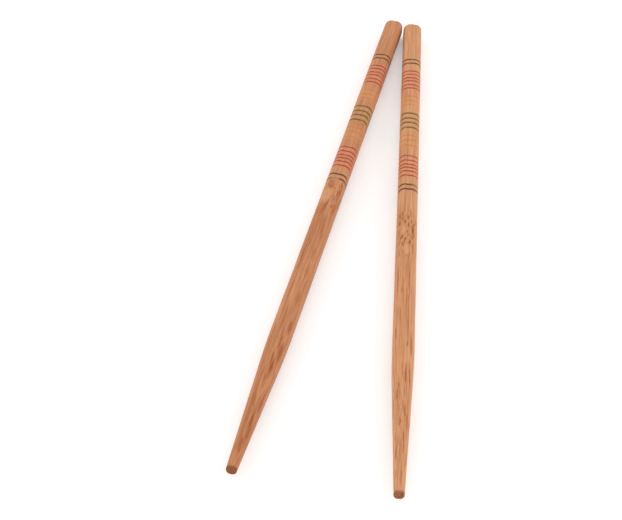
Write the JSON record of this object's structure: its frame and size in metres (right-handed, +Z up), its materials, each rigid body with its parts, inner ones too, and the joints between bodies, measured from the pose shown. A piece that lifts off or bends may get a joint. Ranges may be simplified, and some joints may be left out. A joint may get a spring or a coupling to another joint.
{
  "type": "pair of bamboo chopsticks",
  "caption": "Long slim bamboo chopsticks lying butts together and tips apart: round-cornered square shafts, tapered blunt tips and painted colour rings.",
  "frame": {"origin": "on the table, under the middle of the box that holds both sticks", "axes": "+Y halves the angle between the sticks and points to their thick ends, +X points to the right stick, +Z is up from the table"},
  "size_m": [0.0478, 0.2406, 0.0064],
  "materials": {
    "left_bamboo": "satin, steamed bamboo of a ruddy brown, sanded smooth and lightly varnished",
    "right_bamboo": "satin, steamed bamboo of a warm tan, sanded smooth and lightly varnished"
  },
  "bodies": {
    "root": {"chopstick_left": "left_bamboo", "chopstick_right": "right_bamboo"}
  },
  "joints": []
}
